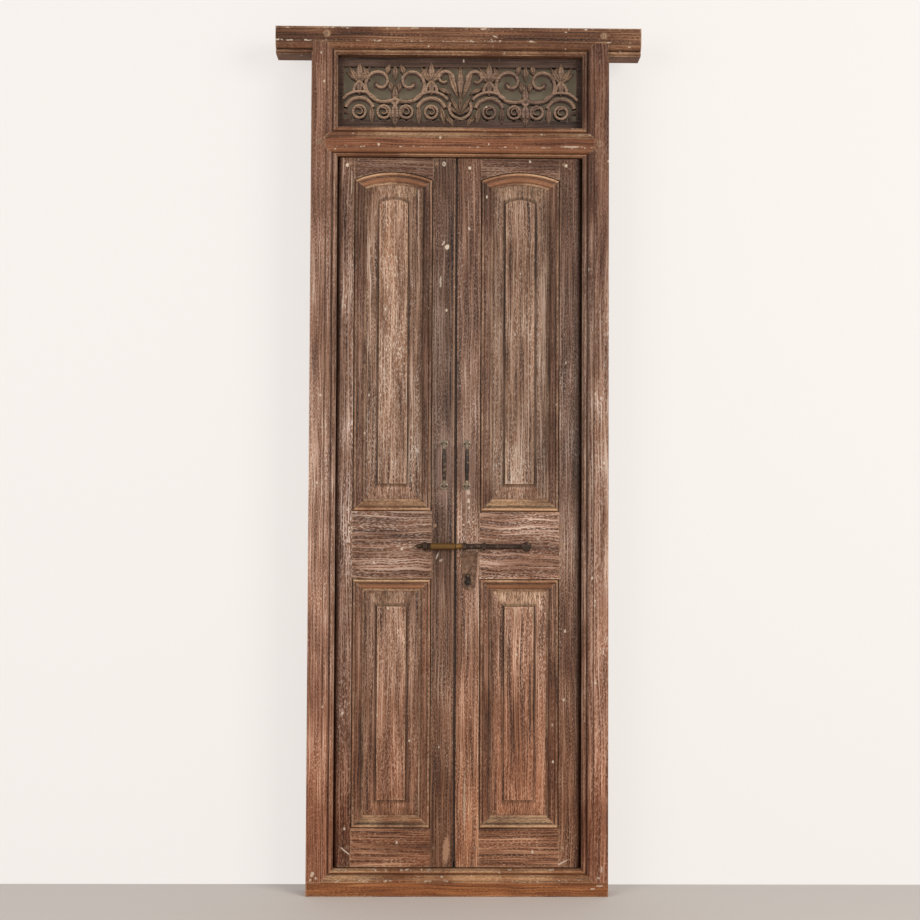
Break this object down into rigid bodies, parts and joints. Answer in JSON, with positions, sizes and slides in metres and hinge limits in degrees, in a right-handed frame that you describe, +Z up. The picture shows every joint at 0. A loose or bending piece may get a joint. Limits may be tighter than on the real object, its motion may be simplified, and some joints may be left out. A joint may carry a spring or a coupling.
{
  "type": "double door in its frame",
  "caption": "Antique double door in its frame: panelled leaves on pivots under a pierced carved panel, with pull handles, a sliding bolt and a rim lock.",
  "frame": {"origin": "middle of the sill's underside, in the middle of the frame's depth", "axes": "+Z up, -Y towards the front, +X to the right as seen from the front"},
  "size_m": [1.04, 0.0882, 2.45],
  "materials": {
    "head_wood": "weathered dark teak",
    "frame_wood": "weathered red-brown teak",
    "leaf_wood": "limed grey-brown teak",
    "panel_wood": "limed grey-brown teak",
    "carved_wood": "carved dark teak",
    "peg_wood": "worn end grain",
    "iron": "dark, worn",
    "brass": "dull, worn"
  },
  "bodies": {
    "frame": {"head_beam": "head_wood", "left_jamb": "frame_wood", "right_jamb": "frame_wood", "transom_rail": "frame_wood", "sill": "frame_wood", "frame_pegs": "peg_wood", "carved_panel": "carved_wood", "panel_nails": "iron", "pivot_sockets": "iron"},
    "left_leaf": {"left_hanging_stile": "leaf_wood", "left_meeting_stile": "leaf_wood", "left_top_rail": "leaf_wood", "left_lock_rail": "leaf_wood", "left_bottom_rail": "leaf_wood", "left_upper_panel": "panel_wood", "left_lower_panel": "panel_wood", "left_upper_top_moulding": "leaf_wood", "left_upper_bottom_moulding": "leaf_wood", "left_upper_hanging_moulding": "leaf_wood", "left_upper_meeting_moulding": "leaf_wood", "left_lower_top_moulding": "leaf_wood", "left_lower_bottom_moulding": "leaf_wood", "left_lower_hanging_moulding": "leaf_wood", "left_lower_meeting_moulding": "leaf_wood", "left_leaf_pegs": "peg_wood", "left_pivots": "iron", "left_pull_handle": "iron", "left_handle_nails": "iron", "bolt_keeper": "brass", "keeper_staple": "iron", "lock_keeper": "iron", "lock_keeper_screws": "iron"},
    "right_leaf": {"right_hanging_stile": "leaf_wood", "right_meeting_stile": "leaf_wood", "right_top_rail": "leaf_wood", "right_lock_rail": "leaf_wood", "right_bottom_rail": "leaf_wood", "right_upper_panel": "panel_wood", "right_lower_panel": "panel_wood", "right_upper_top_moulding": "leaf_wood", "right_upper_bottom_moulding": "leaf_wood", "right_upper_hanging_moulding": "leaf_wood", "right_upper_meeting_moulding": "leaf_wood", "right_lower_top_moulding": "leaf_wood", "right_lower_bottom_moulding": "leaf_wood", "right_lower_hanging_moulding": "leaf_wood", "right_lower_meeting_moulding": "leaf_wood", "right_leaf_pegs": "peg_wood", "right_pivots": "iron", "right_pull_handle": "iron", "right_handle_nails": "iron", "bolt_staples": "iron", "escutcheon": "iron", "escutcheon_nails": "iron", "lock_case": "iron", "lock_case_screws": "iron"},
    "slide_bolt": {"slide_bolt": "iron"},
    "keyhole_cover": {"keyhole_cover": "iron"},
    "lock_bolt": {"lock_bolt": "brass"}
  },
  "joints": [
    {"name": "left_leaf_swing", "type": "hinge", "parent": "frame", "child": "left_leaf", "pos_m": [-0.3305, 0.005, 0.075], "axis": [0, 0, -1], "range_deg": [0, 90]},
    {"name": "right_leaf_swing", "type": "hinge", "parent": "frame", "child": "right_leaf", "pos_m": [0.3305, 0.005, 0.075], "axis": [0, 0, 1], "range_deg": [0, 90]},
    {"name": "bolt_slide", "type": "slide", "parent": "right_leaf", "child": "slide_bolt", "axis": [-1, 0, 0], "range_m": [0, 0.06]},
    {"name": "keyhole_cover_swing", "type": "hinge", "parent": "right_leaf", "child": "keyhole_cover", "pos_m": [0.027, -0.0154, 0.893], "axis": [0, 1, 0], "range_deg": [-90, 90]},
    {"name": "lock_bolt_slide", "type": "slide", "parent": "right_leaf", "child": "lock_bolt", "axis": [-1, 0, 0], "range_m": [0, 0.015]}
  ]
}
